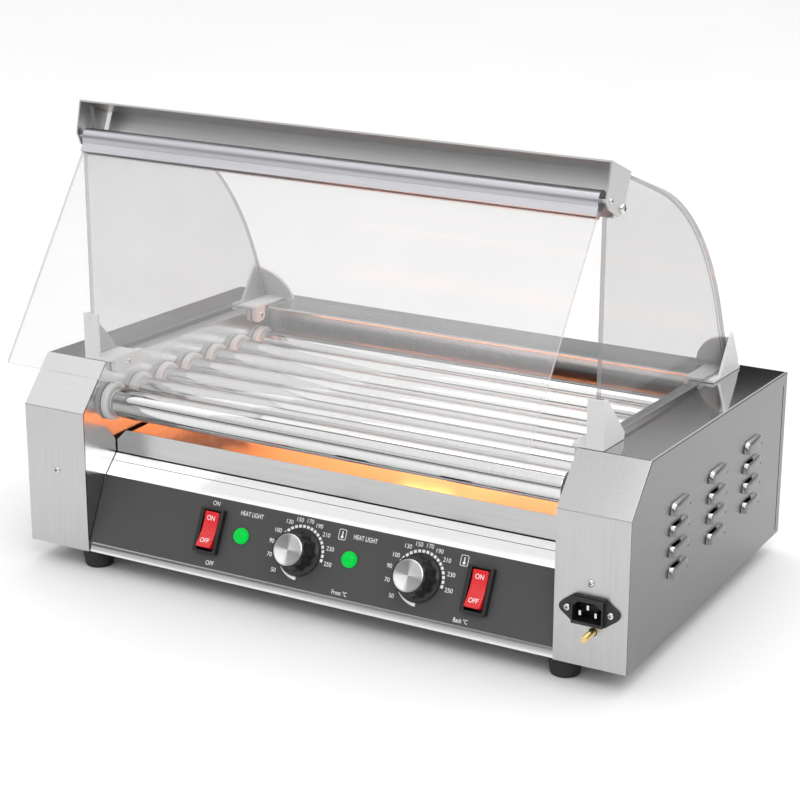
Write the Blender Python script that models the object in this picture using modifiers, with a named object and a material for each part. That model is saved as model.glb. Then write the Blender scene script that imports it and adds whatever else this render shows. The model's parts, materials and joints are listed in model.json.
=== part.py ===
"""Countertop hot dog roller grill with a clear hood, seven chain-driven rollers and a leaning control panel.

Dimensions are in millimetres: x to the right, depth counted backwards from the front face of the
housings, z up from the table. The scene is in metres, and the grill faces -Y.
"""

import math

import bmesh
import bpy
from mathutils import Matrix, Vector
from mathutils.geometry import delaunay_2d_cdt

MM = 0.001
GAP = 0.4
SHEET = 1.0

# Housings
HALF = 290.0
DEPTH = 348.0
FLOOR_Z = 18.0
KNEE_Z = 147.0
CREST_D = 36.0
CREST_Z = 185.2
DECK_START = CREST_D + 1.2
DECK_FALL = 0.0468
WALL_X = 227.0
FLANGE_X = 238.0
PANEL_X = 226.5
REAR_IN = DEPTH - SHEET - GAP
FOLD = 2.0

# Rollers and chain
ROLLERS = 7
ROLLER_D = 42.6
ROLLER_Z = 147.8
ROLLER_PITCH = 40.6
ROLLER_FALL = 1.9
TUBE_R = 13.5
TUBE_X = 217.0
NECK_R = 7.0
SPROCKET_X = (243.0, 248.0)
ROLLER_TEETH = 15
MOTOR_TEETH = 12
CHAIN_PITCH = 6.35
CHAIN_ROLLER_R = 1.65
MOTOR_D = 164.0
MOTOR_Z = 80.0

# Louvres
LOUVRE_D = (98.6, 181.5, 263.8)
LOUVRE_Z = (129.2, 111.0, 93.2, 75.0)

# Control panel: its foot, the foot and head of the leaning face, and its upper edge
PANEL_LINE = ((1.5, 18.5), (3.1, 26.4), (30.4, 82.6), (45.9, 97.9), (45.9, 90.0))
OVERLAY_TOP = 1.3
SEAT = OVERLAY_TOP + 0.3
KNOBS = {"front": (-16.6, 31.0), "rear": (98.0, 31.5)}
LAMPS = {"front": (-75.3, 33.8), "rear": (31.8, 33.9)}
SWITCHES = {"power": (-106.3, 32.6), "light": (153.5, 32.1)}
SWITCH_BODY = (20.5, 36.5)
ROCKER_TILT = 8.0
ROCKER_W = 3.0

# Mains inlet and earth stud on the right front cover
INLET = (258.1, 67.4)
STUD = (261.0, 49.4)

# Hood
BAR = ((41.0, 414.6), (78.5, 399.0), (63.0, 364.6), (32.4, 380.0))
BAR_X = 246.3
PIVOT = (41.0, 383.0)
FLAP_REST = 36.0
FLAP_LENGTH = 208.0
HOOD_BASE = (324.0, 172.2)
HOOD_ANGLES = (21.0, 66.0)
HOOD_RADIUS = 260.0
SIDE_GLASS_X = (240.0, 244.0)
REAR_GLASS = 3.0
BRACKET_X = 249.3
BRACKET_WALL = 2.8

FLAP_TIP_D = PIVOT[0] - FLAP_LENGTH * math.sin(math.radians(FLAP_REST)) - 1.2
FRONT_Y = -(DEPTH + FLAP_TIP_D) / 2


def deck_z(depth):
    return CREST_Z - DECK_FALL * (depth - CREST_D)


def slope_z(depth):
    return KNEE_Z + (CREST_Z - KNEE_Z) * depth / CREST_D


def roller_axis(index):
    return ROLLER_D + ROLLER_PITCH * index, ROLLER_Z - ROLLER_FALL * index


def pitch_radius(teeth):
    return CHAIN_PITCH / 2 / math.sin(math.pi / teeth)


def tip_radius(teeth):
    return pitch_radius(teeth) + 1.65


# ---------------------------------------------------------------- planes and outlines


def plane(origin, across, up):
    """Local X runs along `across`, Y along `up`, and Z out of the plane they span."""
    x = Vector(across).normalized()
    y = Vector(up).normalized()
    turn = Matrix((x, y, x.cross(y))).transposed().to_4x4()
    return Matrix.Translation(Vector(origin)) @ turn


SIDE = plane((0, 0, 0), (0, 1, 0), (0, 0, 1))
FRONT = plane((0, 0, 0), (1, 0, 0), (0, 0, 1))


def side_axis(depth, z):
    """A side plane whose origin lies on a cross axis, for pieces turned about X."""
    return plane((0, depth, z), (0, 1, 0), (0, 0, 1))


def face_point(x, along):
    """The plane on the leaning face at x, `along` up from its foot; local Z leaves the face."""
    foot, head = (Vector(point) for point in PANEL_LINE[1:3])
    up = (head - foot).normalized()
    spot = foot + up * along
    return plane((x, spot.x, spot.y), (1, 0, 0), (0, up.x, up.y))


def circle(centre, radius, segments):
    turns = (2 * math.pi * i / segments for i in range(segments))
    return [(centre[0] + radius * math.cos(a), centre[1] + radius * math.sin(a)) for a in turns]


def arc(centre, radius, start, end, steps):
    """Points from the angle `start` to `end`, in degrees."""
    turns = (math.radians(start + (end - start) * i / steps) for i in range(steps + 1))
    return [(centre[0] + radius * math.cos(a), centre[1] + radius * math.sin(a)) for a in turns]


def rectangle(low, high):
    return [low, (high[0], low[1]), high, (low[0], high[1])]


def shifted(line, distance):
    """The open line moved to the left of its direction, mitred at each corner."""
    points = [Vector(point) for point in line]
    ways = [(after - before).normalized() for before, after in zip(points, points[1:])]
    sides = [Vector((-way.y, way.x)) for way in ways]
    moved = []
    for point, before, after in zip(points, sides[:1] + sides, sides + sides[-1:]):
        mitre = before + after
        moved.append(tuple(point + mitre * (distance / mitre.dot(after))))
    return moved


def rounded(line, radius, steps=3):
    """The open line with each inner corner turned into an arc."""
    points = [Vector(point) for point in line]
    result = [line[0]]
    for before, corner, after in zip(points, points[1:], points[2:]):
        arrive = (corner - before).normalized()
        leave = (after - corner).normalized()
        turn = math.atan2(arrive.x * leave.y - arrive.y * leave.x, arrive.dot(leave))
        side = Vector((-arrive.y, arrive.x)) * math.copysign(radius, turn)
        centre = corner - arrive * radius * math.tan(abs(turn) / 2) + side
        for step in range(steps + 1):
            swing = Matrix.Rotation(turn * step / steps, 2)
            result.append(tuple(centre - swing @ side))
    return result + [line[-1]]


def strip(line, thickness, radius=0.0, steps=3):
    """The outline of a sheet folded along the line; a negative thickness lies to its right."""
    bent = rounded(line, radius, steps) if radius else list(line)
    return bent + shifted(bent, thickness)[::-1]


def teeth_outline(teeth, centre=(0.0, 0.0)):
    root = pitch_radius(teeth) - CHAIN_ROLLER_R
    tip = tip_radius(teeth)
    points = []
    for tooth in range(teeth):
        for share, radius in ((-0.36, root), (0.0, tip), (0.36, root)):
            angle = 2 * math.pi * (tooth + share) / teeth
            points.append((centre[0] + radius * math.cos(angle), centre[1] + radius * math.sin(angle)))
    return points


def belt(wheels, extra, steps=9):
    """The taut loop round wheels given as (centre, radius), in anticlockwise order."""
    points = []
    for index, (centre, radius) in enumerate(wheels):
        before = wheels[index - 1]
        after = wheels[(index + 1) % len(wheels)]
        start = tangent_angle(before, (centre, radius))
        end = tangent_angle((centre, radius), after)
        if end < start:
            end += 360
        points += arc(centre, radius + extra, start, end, steps)
    return points


def tangent_angle(first, second):
    """The direction, in degrees, of the outer tangent's normal on the right of first to second."""
    way = Vector(second[0]) - Vector(first[0])
    lean = math.asin((first[1] - second[1]) / way.length)
    return math.degrees(math.atan2(way.y, way.x) - math.pi / 2 + lean)


# ---------------------------------------------------------------- solids


def inside(spot, edges, points):
    """Whether the spot lies within an odd number of the loops that these edges make up."""
    found = False
    for first, last in edges:
        a, b = points[first], points[last]
        if (a.y > spot.y) != (b.y > spot.y):
            found ^= spot.x < a.x + (b.x - a.x) * (spot.y - a.y) / (b.y - a.y)
    return found


def filled(loops):
    """Anticlockwise triangles that fill the first loop less the others, as indices into their points."""
    points = [Vector(point) for loop in loops for point in loop]
    edges = []
    for loop in loops:
        first = len(edges)
        edges += [(first + i, first + (i + 1) % len(loop)) for i in range(len(loop))]
    _, _, triangles, sources, _, _ = delaunay_2d_cdt(points, edges, [], 0, 1e-6)
    result = []
    for triangle in triangles:
        a, b, c = (sources[corner][0] for corner in triangle)
        if inside((points[a] + points[b] + points[c]) / 3, edges, points):
            area = (points[b] - points[a]).cross(points[c] - points[a])
            result.append((a, b, c) if area > 0 else (a, c, b))
    return result


def slab(loops, where, start, stop):
    """The first outline less the others, from `start` to `stop` along the plane's normal."""
    bm = bmesh.new()
    points = [point for loop in loops for point in loop]
    low = [bm.verts.new(where @ Vector((u, v, start))) for u, v in points]
    high = [bm.verts.new(where @ Vector((u, v, stop))) for u, v in points]
    for a, b, c in filled(loops):
        bm.faces.new((high[a], high[b], high[c]))
        bm.faces.new((low[c], low[b], low[a]))
    first = 0
    for loop in loops:
        for i in range(len(loop)):
            a, b = first + i, first + (i + 1) % len(loop)
            bm.faces.new((low[a], low[b], high[b], high[a]))
        first += len(loop)
    bmesh.ops.recalc_face_normals(bm, faces=bm.faces)
    return bm


def box(low, high):
    (x0, d0, z0), (x1, d1, z1) = low, high
    return slab([rectangle((d0, z0), (d1, z1))], SIDE, x0, x1)


def turned(profile, where, segments, ring=False, flutes=0):
    """(radius, height[, flute depth]) turned about the plane's normal; a ring closes on itself."""
    bm = bmesh.new()
    rows = []
    for radius, height, *depth in profile:
        row = []
        for i in range(segments if radius > 0 else 1):
            angle = 2 * math.pi * i / segments
            reach = radius - (depth[0] * (1 - math.cos(flutes * angle)) / 2 if depth else 0)
            spot = Vector((reach * math.cos(angle), reach * math.sin(angle), height))
            row.append(bm.verts.new(where @ spot))
        rows.append(row)
    for lower, upper in zip(rows, rows[1:] + (rows[:1] if ring else [])):
        for i in range(segments):
            j = (i + 1) % segments
            corners = [row[k % len(row)] for row, k in ((lower, i), (lower, j), (upper, j), (upper, i))]
            bm.faces.new(list(dict.fromkeys(corners)))
    bmesh.ops.recalc_face_normals(bm, faces=bm.faces)
    return bm


def work_object(bm):
    mesh = bpy.data.meshes.new("work")
    bm.to_mesh(mesh)
    bm.free()
    obj = bpy.data.objects.new("work", mesh)
    bpy.context.scene.collection.objects.link(obj)
    return obj


def modified(bm, kind, **settings):
    """The shape after one modifier."""
    obj = work_object(bm)
    modifier = obj.modifiers.new(kind, kind)
    for name, value in settings.items():
        setattr(modifier, name, value)
    graph = bpy.context.evaluated_depsgraph_get()
    mesh = bpy.data.meshes.new_from_object(obj.evaluated_get(graph))
    result = bmesh.new()
    result.from_mesh(mesh)
    bpy.data.meshes.remove(mesh)
    bpy.data.objects.remove(obj)
    return result


def combined(bm, other, operation):
    tool = work_object(other)
    result = modified(bm, "BOOLEAN", object=tool, operation=operation, solver="EXACT")
    bpy.data.objects.remove(tool)
    return result


def united(first, *others):
    for other in others:
        first = combined(first, other, "UNION")
    return first


def thickened(bm, thickness):
    """The open surface as a sheet that lies behind its faces."""
    bmesh.ops.remove_doubles(bm, verts=bm.verts, dist=0.001)
    sheet = modified(bm, "SOLIDIFY", thickness=thickness, offset=-1.0, use_even_offset=True)
    bmesh.ops.recalc_face_normals(sheet, faces=sheet.faces)
    return sheet


def mirrored(bm):
    copy = bm.copy()
    bmesh.ops.transform(copy, matrix=Matrix.Scale(-1, 4, (1, 0, 0)), verts=copy.verts)
    bmesh.ops.reverse_faces(copy, faces=copy.faces)
    return copy


def moved(bm, x, depth, z):
    copy = bm.copy()
    bmesh.ops.translate(copy, vec=(x, depth, z), verts=copy.verts)
    return copy


# ---------------------------------------------------------------- nodes


def material(name, colour, metallic, roughness, transmission=0.0):
    made = bpy.data.materials.new(name)
    made.use_nodes = True
    shader = made.node_tree.nodes["Principled BSDF"]
    shader.inputs["Base Color"].default_value = (*colour, 1)
    shader.inputs["Metallic"].default_value = metallic
    shader.inputs["Roughness"].default_value = roughness
    shader.inputs["Transmission Weight"].default_value = transmission
    return made


def make_materials():
    return {
        "steel": material("steel", (0.62, 0.62, 0.62), 1.0, 0.3),
        "chrome": material("chrome", (0.8, 0.8, 0.8), 1.0, 0.08),
        "panel": material("panel", (0.09, 0.09, 0.095), 0.0, 0.5),
        "black": material("black", (0.02, 0.02, 0.02), 0.0, 0.45),
        "red": material("red", (0.75, 0.03, 0.03), 0.0, 0.35),
        "green": material("green", (0.05, 0.8, 0.2), 0.0, 0.3),
        "white": material("white", (0.8, 0.8, 0.78), 0.0, 0.5),
        "rubber": material("rubber", (0.03, 0.03, 0.03), 0.0, 0.85),
        "brass": material("brass", (0.75, 0.56, 0.25), 1.0, 0.3),
        "glass": material("glass", (0.9, 0.95, 0.95), 0.0, 0.05, 0.9),
        "aluminium": material("aluminium", (0.6, 0.6, 0.64), 1.0, 0.35),
        "iron": material("iron", (0.12, 0.12, 0.13), 0.6, 0.5),
    }


def add(name, bm, made_of, origin=(0.0, 0.0, 0.0)):
    """Turns the shape into a node, its origin at a point on its joint's axis."""
    bmesh.ops.translate(bm, vec=-Vector(origin), verts=bm.verts)
    bmesh.ops.scale(bm, vec=(MM, MM, MM), verts=bm.verts)
    mesh = bpy.data.meshes.new(name)
    bm.to_mesh(mesh)
    bm.free()
    mesh.materials.append(MATERIALS[made_of])
    mesh.shade_smooth()
    mesh.set_sharp_from_angle(angle=math.radians(34))
    obj = bpy.data.objects.new(name, mesh)
    obj.location = Vector((origin[0], origin[1] + FRONT_Y, origin[2])) * MM
    PARTS.objects.link(obj)
    return obj


def add_pair(name, bm, made_of):
    add(f"left_{name}", mirrored(bm), made_of)
    add(f"right_{name}", bm, made_of)


def make_base_pan():
    edge = HALF - SHEET - GAP
    line = [(-edge, 30.0), (-edge, FLOOR_Z), (edge, FLOOR_Z), (edge, 30.0)]
    front = PANEL_LINE[0][0] + SHEET + 0.7
    pan = slab([strip(line, SHEET, 2.0)], FRONT, -front, -REAR_IN)
    add("base_pan", pan, "steel")


def make_inner_walls():
    """Vertical sheet with the bushing holes, folded outwards at deck height, and a tray runner."""
    low = FLOOR_Z + SHEET + GAP
    front = SHEET + 0.5
    back = REAR_IN
    clear = (SHEET + GAP) * 1.47
    fold = 1.5
    outline = [
        (front, low),
        (back, low),
        (back, deck_z(back) - fold),
        (DECK_START, deck_z(DECK_START) - fold),
        (front, slope_z(front) - clear),
    ]
    holes = [circle(roller_axis(index), 9.8, 12) for index in range(ROLLERS)]
    bm = bmesh.new()
    loops = [outline] + holes
    spots = [bm.verts.new((WALL_X, d, z)) for loop in loops for d, z in loop]
    for a, b, c in filled(loops):
        bm.faces.new((spots[a], spots[c], spots[b]))
    ends = [outline[3][0], back]
    section = [(WALL_X, -fold), (WALL_X + fold * 0.3, -fold * 0.3), (WALL_X + fold, 0.0), (FLANGE_X, 0.0)]
    add_fold(bm, section, ends, reverse=True)
    wall = thickened(bm, SHEET)
    runner = box((219.0, 49.0, 95.2), (WALL_X + 0.5, 308.0, 98.2))
    add_pair("inner_wall", united(wall, runner), "steel")


def add_fold(bm, section, ends, reverse):
    """Rows of quads along (x, height over the deck), between two depths."""
    rows = [[bm.verts.new((x, d, deck_z(d) + rise)) for d in ends] for x, rise in section]
    for lower, upper in zip(rows, rows[1:]):
        corners = (lower[0], lower[1], upper[1], upper[0])
        bm.faces.new(corners[::-1] if reverse else corners)


def louvre_rings(depth, z):
    """(height over the sheet, outline from lower right round the top to lower left), outermost first."""
    quarter = [(18.0, -5.0), (18.0, 0.6), (16.2, 3.6), (13.0, 5.0)]
    rings = []
    for rise, inset in ((0.0, 0.0), (2.8, 0.9), (4.0, 2.9)):
        half = []
        for u, v in quarter:
            half.append((u - inset, v - (inset if v > -5.0 else 0.0)))
        ring = half + [(-u, v) for u, v in half[::-1]]
        rings.append((rise, [(depth + u, z + v) for u, v in ring]))
    return rings


def add_louvre(bm, depth, z):
    """A pressed hood over one slot; its lower edge stays open."""
    rings = louvre_rings(depth, z)
    rows = [[bm.verts.new((HALF + rise, d, up)) for d, up in ring] for rise, ring in rings]
    for lower, upper in zip(rows, rows[1:]):
        for i in range(len(lower) - 1):
            bm.faces.new((lower[i], lower[i + 1], upper[i + 1], upper[i]))
    bm.faces.new(rows[-1])
    return rings[0][1]


def make_side_covers():
    """Louvred side sheet folded inwards into the deck."""
    low = FLOOR_Z + GAP
    front = SHEET + GAP
    clear = (SHEET + GAP) * 1.47
    outline = [
        (front, low),
        (REAR_IN, low),
        (REAR_IN, deck_z(REAR_IN) - FOLD),
        (DECK_START, deck_z(DECK_START) - FOLD),
        (front, slope_z(front) - clear),
    ]
    bm = bmesh.new()
    holes = [add_louvre(bm, depth, z) for depth in LOUVRE_D for z in LOUVRE_Z]
    slot = rectangle((338.0, 22.0), (339.6, 160.0))
    loops = [outline] + holes + [slot]
    spots = [bm.verts.new((HALF, d, z)) for loop in loops for d, z in loop]
    for a, b, c in filled(loops):
        bm.faces.new((spots[a], spots[b], spots[c]))
    bend = arc((HALF - FOLD, -FOLD), FOLD, 0, 90, 3)
    add_fold(bm, bend + [(FLANGE_X + 1.0, 0.0)], [DECK_START, REAR_IN], reverse=False)
    add_pair("side_cover", thickened(bm, SHEET), "steel")


def make_front_covers():
    """Upright face and slope of each housing; the right one has the inlet and stud holes."""
    low = FLOOR_Z + GAP
    line = [(0.0, low), (0.0, KNEE_Z), (CREST_D, CREST_Z)]
    outline = strip(line, -SHEET, FOLD)
    add("left_front_cover", slab([outline], SIDE, -HALF, -WALL_X), "steel")
    cover = slab([outline], SIDE, WALL_X, HALF)
    opening = inlet_rectangle(14.1, 11.5)
    cover = combined(cover, slab([opening], FRONT, -3.0, 3.0), "DIFFERENCE")
    cover = combined(cover, slab([circle(STUD, 3.5, 16)], FRONT, -3.0, 3.0), "DIFFERENCE")
    add("right_front_cover", cover, "steel")


def make_rear_panels():
    """The inner panel carries the rear deck strip and leans over the last roller."""
    low = FLOOR_Z + SHEET + GAP
    head = 290.7
    line = [(REAR_IN, deck_z(REAR_IN)), (head, deck_z(head)), (318.0, 118.0), (318.0, low)]
    add("rear_inner_panel", slab([strip(line, SHEET, 1.6)], SIDE, -PANEL_X, PANEL_X), "steel")
    outline = rectangle((-HALF, FLOOR_Z + GAP), (HALF, deck_z(DEPTH) - GAP))
    slots = []
    for x in (-170.0, -85.0, 0.0, 85.0, 170.0):
        for z in (60.0, 74.0, 88.0):
            slots.append(rectangle((x - 27.0, z), (x + 27.0, z + 4.0)))
    add("rear_panel", slab([outline] + slots, FRONT, -DEPTH + SHEET, -DEPTH), "steel")


def panel_openings():
    """Outlines on the leaning face, in x and distance up from its foot."""
    half_x, half_s = SWITCH_BODY[0] / 2 + GAP, SWITCH_BODY[1] / 2 + GAP
    loops = [rectangle((x - half_x, s - half_s), (x + half_x, s + half_s)) for x, s in SWITCHES.values()]
    loops += [circle(spot, 5.2, 16) for spot in LAMPS.values()]
    loops += [circle(spot, 4.0, 16) for spot in KNOBS.values()]
    return loops


def make_control_panel():
    """Folded steel front between the housings, and the dark overlay on its leaning face."""
    face = face_point(0.0, 0.0)
    height = (Vector(PANEL_LINE[2]) - Vector(PANEL_LINE[1])).length
    bm = bmesh.new()
    loops = [rectangle((-PANEL_X, 0.0), (PANEL_X, height))] + panel_openings()
    spots = [bm.verts.new(face @ Vector((u, v, 0))) for loop in loops for u, v in loop]
    for a, b, c in filled(loops):
        bm.faces.new((spots[a], spots[b], spots[c]))
    rows = [[bm.verts.new((x, d, z)) for x in (-PANEL_X, PANEL_X)] for d, z in PANEL_LINE]
    for index in (0, 2, 3):
        lower, upper = rows[index : index + 2]
        bm.faces.new((lower[0], lower[1], upper[1], upper[0]))
    add("control_panel", thickened(bm, SHEET), "steel")
    overlay = [rectangle((-PANEL_X + 0.3, 0.6), (PANEL_X - 0.3, height - 0.5))] + panel_openings()
    add("control_overlay", slab(overlay, face, 0.3, OVERLAY_TOP), "panel")


def make_switches():
    """Each switch is a deep bezel with a rocker that tilts about a cross axis."""
    half_x, half_s = SWITCH_BODY[0] / 2, SWITCH_BODY[1] / 2
    for name, (x, along) in SWITCHES.items():
        face = face_point(x, along)
        flange = slab([rectangle((-11.5, -19.5), (11.5, 19.5))], face, SEAT, 7.0)
        body = slab([rectangle((-half_x, -half_s), (half_x, half_s))], face, -16.0, SEAT + 1.0)
        cavity = slab([rectangle((-8.2, -17.6), (8.2, 17.6))], face, -9.0, 8.0)
        add(f"{name}_switch_bezel", combined(united(flange, body), cavity, "DIFFERENCE"), "black")
        pivot = face @ Matrix.Translation((0, 0, ROCKER_W))
        tilted = pivot @ Matrix.Rotation(math.radians(-ROCKER_TILT), 4, "X")
        crown = [(16.0, 6.2), (8.0, 4.2), (0.0, 3.4), (-8.0, 4.2), (-16.0, 6.2)]
        section = [(-15.4, -3.0), (0.0, -8.0), (15.4, -3.0)] + crown
        across = tilted @ plane((0, 0, 0), (0, 1, 0), (0, 0, 1))
        add(f"{name}_rocker", slab([section], across, -7.4, 7.4), "red", pivot.translation)


def make_lamps():
    lens = [(7.0, SEAT), (7.0, 2.6), (6.3, 4.8), (4.4, 6.4), (2.2, 7.1), (0, 7.3)]
    profile = [(0, -12), (4.6, -12), (4.6, SEAT)] + lens
    for name, (x, along) in LAMPS.items():
        add(f"{name}_heat_lamp", turned(profile, face_point(x, along), 16), "green")


def make_knobs():
    """Skirted dial knob with a scalloped grip and a flat cap, its stem through the panel."""
    profile = [
        (0, -10),
        (3.2, -10),
        (3.2, SEAT),
        (20.4, SEAT),
        (20.4, 3.2),
        (19.4, 4.4),
        (17.6, 5.0, 1.4),
        (16.2, 20.5, 1.0),
        (14.6, 22.0),
        (14.0, 22.6),
        (0, 22.6),
    ]
    for name, (x, along) in KNOBS.items():
        face = face_point(x, along)
        add(f"{name}_knob", turned(profile, face, 30, flutes=10), "black", face.translation)


def inlet_rectangle(half_x, half_z):
    return rectangle((INLET[0] - half_x, INLET[1] - half_z), (INLET[0] + half_x, INLET[1] + half_z))


def make_inlet():
    """Flanged appliance inlet: lobes at both sides for its screws, and a deep six-sided socket."""
    x, z = INLET
    right = arc((x + 20.6, z), 5.2, -58, 58, 5)
    left = arc((x - 20.6, z), 5.2, 122, 238, 5)
    outline = [(x + 13.0, z - 11.9)] + right + [(x + 13.0, z + 11.9), (x - 13.0, z + 11.9)]
    outline += left + [(x - 13.0, z - 11.9)]
    screws = [circle((x + side * 18.4, z), 1.7, 10) for side in (-1, 1)]
    flange = slab([outline] + screws, FRONT, 0.3, 2.6)
    collar = slab([inlet_rectangle(13.6, 11.0)], FRONT, -15.0, 6.4)
    socket = [
        (x - 12.2, z - 8.3),
        (x + 12.2, z - 8.3),
        (x + 12.2, z + 4.0),
        (x + 7.6, z + 8.3),
        (x - 7.6, z + 8.3),
        (x - 12.2, z + 4.0),
    ]
    inlet = combined(united(flange, collar), slab([socket], FRONT, -9.0, 8.0), "DIFFERENCE")
    add("mains_inlet", inlet, "black")


def make_stud():
    x, z = STUD
    profile = [(0, -8), (5.0, -8), (5.0, -3), (3.0, -3)]
    for ring in range(7):
        height = 0.8 + 2.2 * ring
        profile += [(3.0, height), (2.5, height + 1.1)]
    profile += [(2.2, 16.6), (0, 16.6)]
    add("earth_stud", turned(profile, plane((x, 0, z), (1, 0, 0), (0, 0, 1)), 12), "brass")


def make_feet():
    profile = [(0, 0), (11.2, 0), (12.2, 1.0), (15.0, FLOOR_Z - GAP), (0, FLOOR_Z - GAP)]
    for end, depth in (("front", 19.0), ("rear", DEPTH - 21.0)):
        for side, x in (("left", -230.0), ("right", 230.0)):
            foot = turned(profile, plane((x, depth, 0), (1, 0, 0), (0, 1, 0)), 24)
            add(f"{side}_{end}_foot", foot, "rubber")


def make_bushings():
    """White flanged bearing in each wall hole; the roller's neck runs through it."""
    sleeve = WALL_X + 5.0
    profile = [(17.0, 221.0), (7.5, 221.0), (7.5, sleeve), (8.9, sleeve), (8.9, 226.6), (17.0, 226.6)]
    bushing = turned(profile, SIDE, 16, ring=True)
    for index in range(ROLLERS):
        here = moved(bushing, 0, *roller_axis(index))
        add(f"left_bushing_{index + 1}", mirrored(here), "white")
        add(f"right_bushing_{index + 1}", here, "white")


def make_rollers():
    """Chromed tube on two necks, with its chain sprocket on the right-hand end."""
    profile = [
        (0, -234.0),
        (NECK_R, -234.0),
        (NECK_R, -TUBE_X),
        (TUBE_R - 0.8, -TUBE_X),
        (TUBE_R, 0.8 - TUBE_X),
        (TUBE_R, TUBE_X - 0.8),
        (TUBE_R - 0.8, TUBE_X),
        (NECK_R, TUBE_X),
        (NECK_R, 252.0),
        (0, 252.0),
    ]
    sprocket = slab([teeth_outline(ROLLER_TEETH)], SIDE, *SPROCKET_X)
    roller = united(turned(profile, SIDE, 20), sprocket)
    for index in range(ROLLERS):
        depth, z = roller_axis(index)
        add(f"roller_{index + 1}", moved(roller, 0, depth, z), "chrome", (0, depth, z))


def make_drive():
    """Geared motor on the base, its sprocket, and the chain loop over all the roller sprockets."""
    axis = side_axis(MOTOR_D, MOTOR_Z)
    gearbox = box((256.0, 138.0, 44.0), (269.0, 190.0, 104.0))
    can = [(0, 268.0), (23.0, 268.0), (25.0, 270.0), (25.0, 284.0), (23.0, 286.0), (0, 286.0)]
    shaft = turned([(0, 242.0), (4.0, 242.0), (4.0, 257.0), (0, 257.0)], axis, 16)
    foot = box((252.0, 142.0, FLOOR_Z + SHEET + GAP), (286.0, 186.0, 23.0))
    post = box((258.0, 150.0, 22.0), (266.0, 178.0, 46.0))
    add("gear_motor", united(gearbox, turned(can, axis, 24), shaft, foot, post), "iron")
    sprocket = slab([teeth_outline(MOTOR_TEETH), circle((0, 0), 4.4, 16)], SIDE, *SPROCKET_X)
    add("motor_sprocket", moved(sprocket, 0, MOTOR_D, MOTOR_Z), "steel", (0, MOTOR_D, MOTOR_Z))
    roller = tip_radius(ROLLER_TEETH)
    wheels = [
        ((MOTOR_D, MOTOR_Z), tip_radius(MOTOR_TEETH)),
        (roller_axis(ROLLERS - 1), roller),
        (roller_axis(0), roller),
    ]
    chain = slab([belt(wheels, 4.6), belt(wheels, 1.0)], SIDE, 244.0, 247.0)
    add("drive_chain", chain, "iron")


def make_tray():
    """Shallow pan behind a wider front plate."""
    front = PANEL_LINE[3][0] + 1.2
    low = 98.6
    face = [
        (-PANEL_X + 0.5, low),
        (PANEL_X - 0.5, low),
        (PANEL_X - 0.5, 110.0),
        (PANEL_X - 10.5, 120.0),
        (-PANEL_X + 10.5, 120.0),
        (-PANEL_X + 0.5, 110.0),
    ]
    plate = slab([face], FRONT, -front, -front - SHEET)
    solid = box((-223.0, front + 0.5, low), (223.0, 308.0, 112.5))
    hollow = box((-222.0, front + SHEET, low + SHEET), (222.0, 307.0, 120.0))
    pan = combined(solid, hollow, "DIFFERENCE")
    add("drip_tray", united(pan, plate), "steel", (0, front, low))


def hood_curve(steps=14):
    """The rear glass's outer line: a straight, an arc and a straight, from the top bar to the deck."""
    upper, lower = (math.radians(angle) for angle in HOOD_ANGLES)
    start = Vector(BAR[1]) + Vector((math.cos(upper), -math.sin(upper))) * 1.6 + Vector((0, -0.8))
    first = Vector((math.cos(upper), -math.sin(upper)))
    last = Vector((math.cos(lower), -math.sin(lower)))
    bow = HOOD_RADIUS * Vector((math.sin(lower) - math.sin(upper), math.cos(lower) - math.cos(upper)))
    rest = Vector(HOOD_BASE) - start - bow
    across = first.x * last.y - first.y * last.x
    reach = (rest.x * last.y - rest.y * last.x) / across
    knee = start + first * reach
    centre = (knee.x - HOOD_RADIUS * math.sin(upper), knee.y - HOOD_RADIUS * math.cos(upper))
    bend = arc(centre, HOOD_RADIUS, 90 - HOOD_ANGLES[0], 90 - HOOD_ANGLES[1], steps)
    return [tuple(start)] + bend + [tuple(Vector(HOOD_BASE) - last * 5.2)]


def make_hood_glass():
    curve = hood_curve()
    add("rear_hood_glass", slab([strip(curve, -REAR_GLASS)], SIDE, -239.5, 239.5), "glass")
    first, second = Vector(BAR[0]), Vector(BAR[1])
    fall = (second.y - first.y) / (second.x - first.x)

    def under_bar(depth):
        return depth, first.y + fall * (depth - first.x) - 2.2

    outline = [(CREST_D + 4.0, deck_z(CREST_D + 4.0) + 4.0), (40.0, 370.0), (52.0, 370.0)]
    outline += [under_bar(52.0), under_bar(79.5)] + curve[1:]
    outline += [(curve[-1][0], deck_z(curve[-1][0]) + 4.0)]
    add_pair("hood_glass", slab([outline], SIDE, *SIDE_GLASS_X), "glass")


def make_top_bar():
    """Channel open to the front, with an end plate and a pivot pin at each side."""
    wall = 1.5
    top = slab([strip(BAR[:2], -wall)], SIDE, -BAR_X, BAR_X)
    back = slab([strip(BAR[1:3], -wall)], SIDE, -239.3, 239.3)
    first, second, third, fourth = (Vector(point) for point in BAR)
    plate = [
        tuple(first),
        tuple(second),
        tuple(third + (second - third) * 0.16),
        tuple(third + (fourth - third) * 0.2),
        tuple(fourth + (third - fourth) * 0.2),
        tuple(fourth + (first - fourth) * 0.2),
    ]
    bar = united(top, back)
    for side in (-1, 1):
        inner, outer = sorted((side * (BAR_X - wall), side * BAR_X))
        ends = sorted((side * 230.0, side * (BAR_X - 0.4)))
        pin = turned([(0, ends[0]), (2.0, ends[0]), (2.0, ends[1]), (0, ends[1])], side_axis(*PIVOT), 14)
        bar = united(bar, slab([plate], SIDE, inner, outer), pin)
    add("hood_top_bar", bar, "aluminium")


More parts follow.
